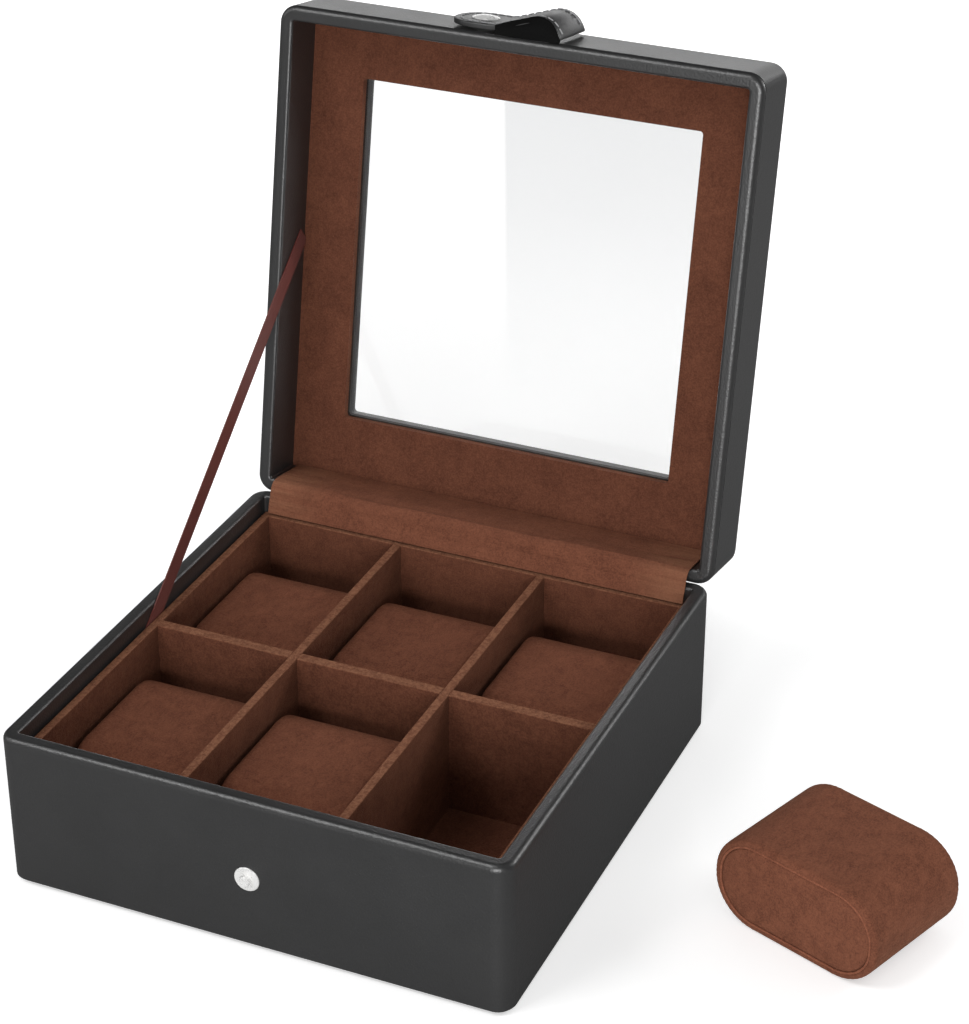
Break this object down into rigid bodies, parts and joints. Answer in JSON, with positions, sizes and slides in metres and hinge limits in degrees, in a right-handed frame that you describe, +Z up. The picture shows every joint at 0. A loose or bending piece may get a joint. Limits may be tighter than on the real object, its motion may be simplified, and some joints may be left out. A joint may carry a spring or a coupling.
{
  "type": "watch display box",
  "caption": "Leather-covered box for six watches with a hinged window lid, a snap strap, a ribbon stay, a suede tray in cells and loose cushions.",
  "frame": {"origin": "centre of the underside, on the surface the box stands on", "axes": "+Z up, +X to the right seen from the front, -Y towards the front with the snap stud"},
  "size_m": [0.3279, 0.2689, 0.2697],
  "materials": {
    "black_leather": "fine grained, semi-matt",
    "board": "raw fibreboard",
    "card": "raw greyboard",
    "brown_suede": "short nap",
    "cushion_suede": "short nap over foam",
    "black_pad": "matt",
    "glass": "clear",
    "steel": "polished",
    "hinge_steel": "brushed",
    "ribbon": "satin"
  },
  "bodies": {
    "base": {"base_front_board": "board", "base_back_board": "board", "base_left_board": "board", "base_right_board": "board", "base_bottom_board": "board", "base_leather_cover": "black_leather", "bottom_pad": "black_pad", "tray_floor_lining": "brown_suede", "tray_left_panel_card": "card", "tray_left_panel_suede": "brown_suede", "tray_right_panel_card": "card", "tray_right_panel_suede": "brown_suede", "tray_front_panel_card": "card", "tray_front_panel_suede": "brown_suede", "tray_back_panel_card": "card", "tray_back_panel_suede": "brown_suede", "cross_divider_left_card": "card", "cross_divider_left_suede": "brown_suede", "cross_divider_right_card": "card", "cross_divider_right_suede": "brown_suede", "long_divider_card": "card", "long_divider_suede": "brown_suede", "snap_stud": "steel", "snap_stud_rivet": "steel", "hinge_base_leaves": "hinge_steel", "hinge_pins": "hinge_steel", "hinge_base_screws": "hinge_steel", "hinge_flap": "brown_suede", "ribbon_stay": "ribbon"},
    "lid": {"lid_front_board": "board", "lid_back_board": "board", "lid_left_board": "board", "lid_right_board": "board", "lid_top_board": "board", "lid_leather_cover": "black_leather", "lid_rim_lining": "black_leather", "window_mat": "brown_suede", "window_glass": "glass", "hinge_lid_leaves": "hinge_steel", "hinge_lid_screws": "hinge_steel", "strap_root_tab": "black_leather"},
    "strap": {"strap_leather": "black_leather", "strap_lining": "black_leather", "snap_cap": "steel", "snap_socket": "steel"},
    "cushion_1": {"cushion_1_pad": "cushion_suede", "cushion_1_end_panels": "cushion_suede"},
    "cushion_2": {"cushion_2_pad": "cushion_suede", "cushion_2_end_panels": "cushion_suede"},
    "cushion_3": {"cushion_3_pad": "cushion_suede", "cushion_3_end_panels": "cushion_suede"},
    "cushion_4": {"cushion_4_pad": "cushion_suede", "cushion_4_end_panels": "cushion_suede"},
    "cushion_5": {"cushion_5_pad": "cushion_suede", "cushion_5_end_panels": "cushion_suede"},
    "cushion_6": {"cushion_6_pad": "cushion_suede", "cushion_6_end_panels": "cushion_suede"}
  },
  "joints": [
    {"name": "lid_hinge", "type": "hinge", "parent": "base", "child": "lid", "pos_m": [0, 0.0998, 0.0638], "axis": [-1, 0, 0], "range_deg": [-100.4, 0], "deforming": ["hinge_flap", "ribbon_stay"]},
    {"name": "strap_swing", "type": "hinge", "parent": "lid", "child": "strap", "pos_m": [0.0151, 0.13615, 0.26128], "axis": [0, -0.1805, -0.9836], "range_deg": [-90, 0]},
    {"name": "cushion_1_lift", "type": "slide", "parent": "base", "child": "cushion_1", "axis": [0, 0, 1], "range_m": [0, 0.09]},
    {"name": "cushion_2_lift", "type": "slide", "parent": "base", "child": "cushion_2", "axis": [0, 0, 1], "range_m": [0, 0.09]},
    {"name": "cushion_3_lift", "type": "slide", "parent": "base", "child": "cushion_3", "axis": [0, 0, 1], "range_m": [0, 0.09]},
    {"name": "cushion_4_lift", "type": "slide", "parent": "base", "child": "cushion_4", "axis": [0, 0, 1], "range_m": [0, 0.09]},
    {"name": "cushion_5_lift", "type": "slide", "parent": "base", "child": "cushion_5", "axis": [0, 0, 1], "range_m": [0, 0.09]},
    {"name": "cushion_6_lift", "type": "slide", "parent": "base", "child": "cushion_6", "axis": [0, 0, 1], "range_m": [0, 0.09]}
  ]
}
